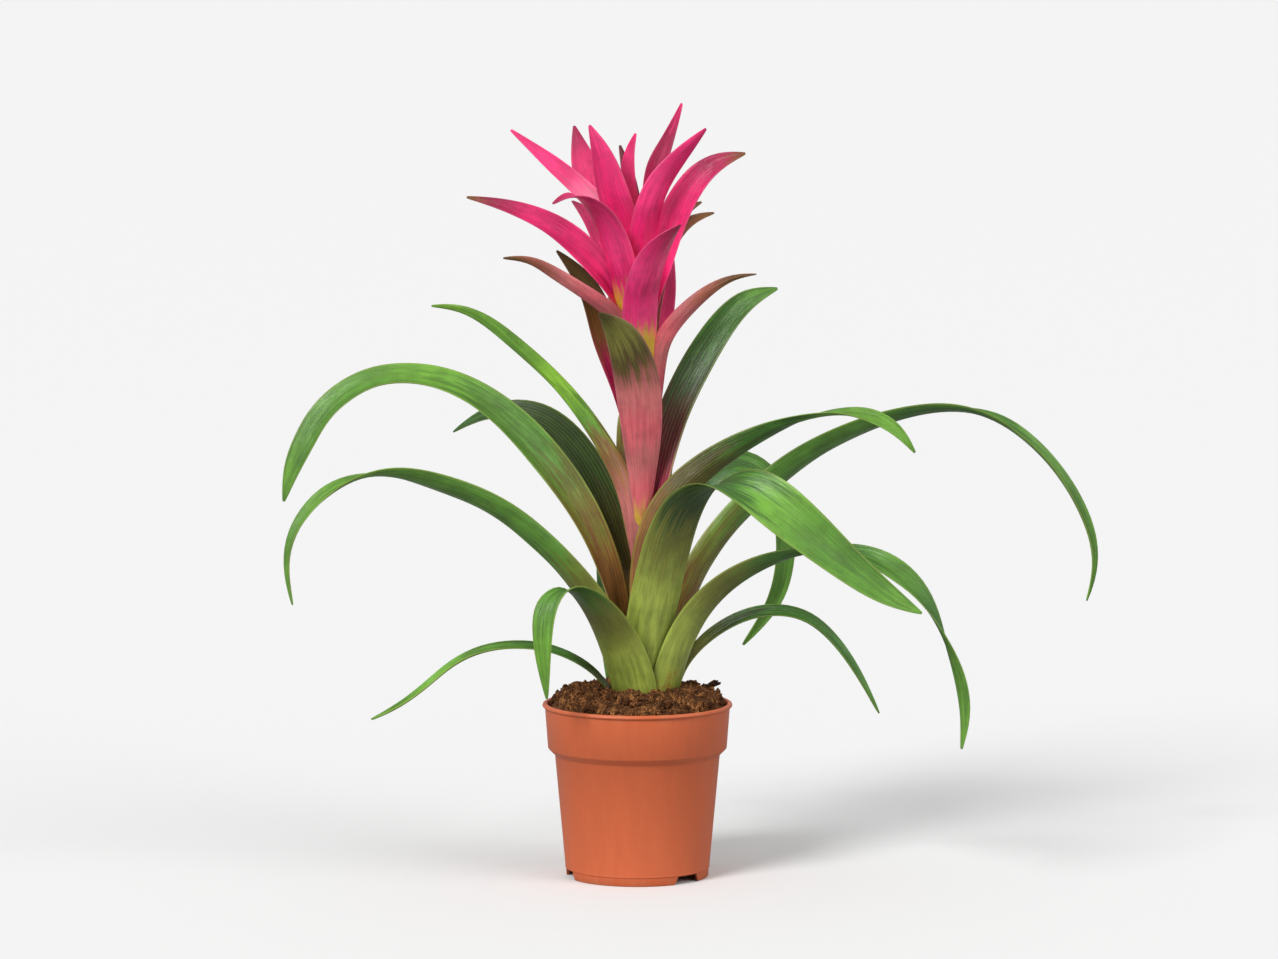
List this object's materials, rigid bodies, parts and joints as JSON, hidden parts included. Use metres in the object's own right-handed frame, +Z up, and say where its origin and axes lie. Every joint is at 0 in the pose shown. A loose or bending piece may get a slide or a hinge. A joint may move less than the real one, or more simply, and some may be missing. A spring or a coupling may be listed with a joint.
{
  "type": "potted bromeliad",
  "caption": "Flowering bromeliad with arching strap leaves and a pink bract spike, in a round collared plastic nursery pot filled with soil.",
  "frame": {"origin": "on the pot's axis, at the flat plane the pot stands on", "axes": "+Z up along the pot's axis, +X to the right as seen from the front, -Y towards the front"},
  "size_m": [0.5147, 0.311, 0.488],
  "materials": {
    "pot_plastic": "satin",
    "soil": "matte",
    "stem_tissue": "satin",
    "leaf": "satin",
    "bract": "satin",
    "bark": "matte"
  },
  "bodies": {
    "root": {"pot": "pot_plastic", "soil": "soil", "stem": "stem_tissue", "leaf_right_upper": "leaf", "leaf_left_inner": "leaf", "leaf_left_long": "leaf", "leaf_right_drooping": "leaf", "leaf_rear_right": "leaf", "leaf_right_longest": "leaf", "leaf_left_low": "leaf", "leaf_rear_left": "leaf", "leaf_front_broad": "leaf", "leaf_right_low": "leaf", "leaf_right_lowest": "leaf", "leaf_left_lowest": "leaf", "leaf_front_short": "leaf", "stalk_leaf_right": "leaf", "stalk_leaf_left": "leaf", "stalk_leaf_rear": "leaf", "bract_inner_rear": "bract", "bract_inner_centre": "bract", "bract_top": "bract", "bract_upper_rear_left": "bract", "bract_upper_left": "bract", "bract_upper_right": "bract", "bract_far_left": "bract", "bract_upper_far_right": "bract", "bract_rear_right": "bract", "bract_left": "bract", "bract_rear_left": "bract", "bract_rear_right_low": "bract", "bract_front_left": "bract", "bract_front_right": "bract", "bract_rear": "bract", "bract_left_slender": "bract", "bract_right_slender": "bract", "bract_left_olive": "bract", "bract_front": "bract", "bract_rear_low": "bract", "bark_chip_right": "bark", "bark_chip_rear": "bark", "bark_chip_left": "bark", "bark_chip_dark": "bark"}
  },
  "joints": []
}
